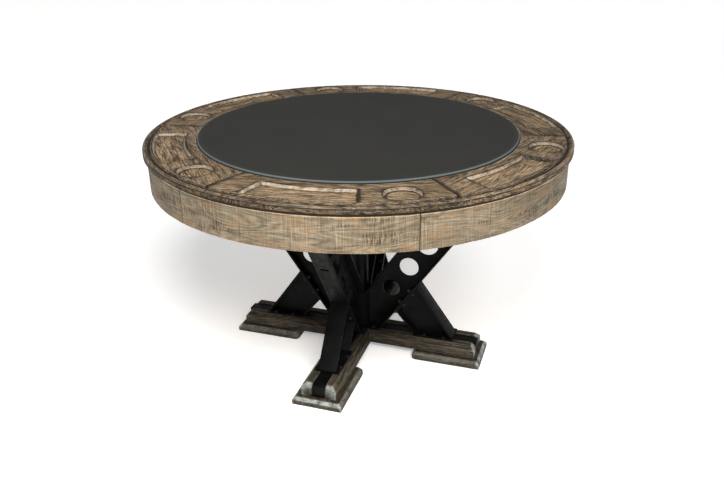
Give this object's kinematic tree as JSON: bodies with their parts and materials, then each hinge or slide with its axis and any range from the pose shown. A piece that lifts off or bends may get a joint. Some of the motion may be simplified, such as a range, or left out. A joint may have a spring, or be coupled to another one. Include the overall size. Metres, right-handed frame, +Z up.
{
  "type": "gaming table",
  "caption": "Round pedestal gaming table with a felt covered lift-out panel, a wooden rail with trays and cup recesses, iron brackets and a cross shaped wooden foot.",
  "frame": {"origin": "on the floor under the middle of the table", "axes": "+Z up, with the four arms of the foot along +X, +Y, -X and -Y"},
  "size_m": [1.372, 1.3718, 0.7935],
  "materials": {
    "rail_wood": "weathered brown oak, wire brushed, with dark glazed edges and hollows",
    "apron_wood": "weathered pale brown oak, wire brushed, with worn edges",
    "foot_wood": "weathered grey-brown oak with dark glaze",
    "plywood": "unfinished plywood and softwood",
    "black_iron": "black satin",
    "fastener_steel": "dark zinc",
    "felt": "charcoal wool felt",
    "foam": "dense foam"
  },
  "bodies": {
    "table": {"rail_segment_1": "rail_wood", "rail_segment_2": "rail_wood", "rail_segment_3": "rail_wood", "rail_segment_4": "rail_wood", "rail_segment_5": "rail_wood", "rail_segment_6": "rail_wood", "rail_splines": "plywood", "deck": "plywood", "rail_screws": "fastener_steel", "apron_1": "apron_wood", "apron_2": "apron_wood", "apron_3": "apron_wood", "apron_4": "apron_wood", "apron_5": "apron_wood", "apron_6": "apron_wood", "apron_backers": "plywood", "glue_blocks": "plywood", "cleat_right": "plywood", "cleat_back": "plywood", "cleat_left": "plywood", "cleat_front": "plywood", "column": "black_iron", "column_top_plate": "black_iron", "column_screws": "fastener_steel", "bracket_right": "black_iron", "bracket_back": "black_iron", "bracket_left": "black_iron", "bracket_front": "black_iron", "bracket_screws": "fastener_steel", "strut_right": "black_iron", "strut_back": "black_iron", "strut_left": "black_iron", "strut_front": "black_iron", "strut_bolts": "fastener_steel", "strut_nuts": "fastener_steel", "foot_screws": "fastener_steel", "spine_long": "black_iron", "spine_front": "black_iron", "spine_back": "black_iron", "spine_caps": "black_iron", "beam_right_front": "foot_wood", "beam_right_back": "foot_wood", "beam_back_right": "foot_wood", "beam_back_left": "foot_wood", "beam_left_back": "foot_wood", "beam_left_front": "foot_wood", "beam_front_left": "foot_wood", "beam_front_right": "foot_wood", "pad_right": "foot_wood", "pad_back": "foot_wood", "pad_left": "foot_wood", "pad_front": "foot_wood", "pad_screws": "fastener_steel"},
    "game_panel": {"felt_cover": "felt", "panel_foam": "foam", "panel_board": "plywood"}
  },
  "joints": [
    {"name": "panel_lift", "type": "slide", "parent": "table", "child": "game_panel", "axis": [0, 0, 1], "range_m": [0, 0.06]}
  ]
}
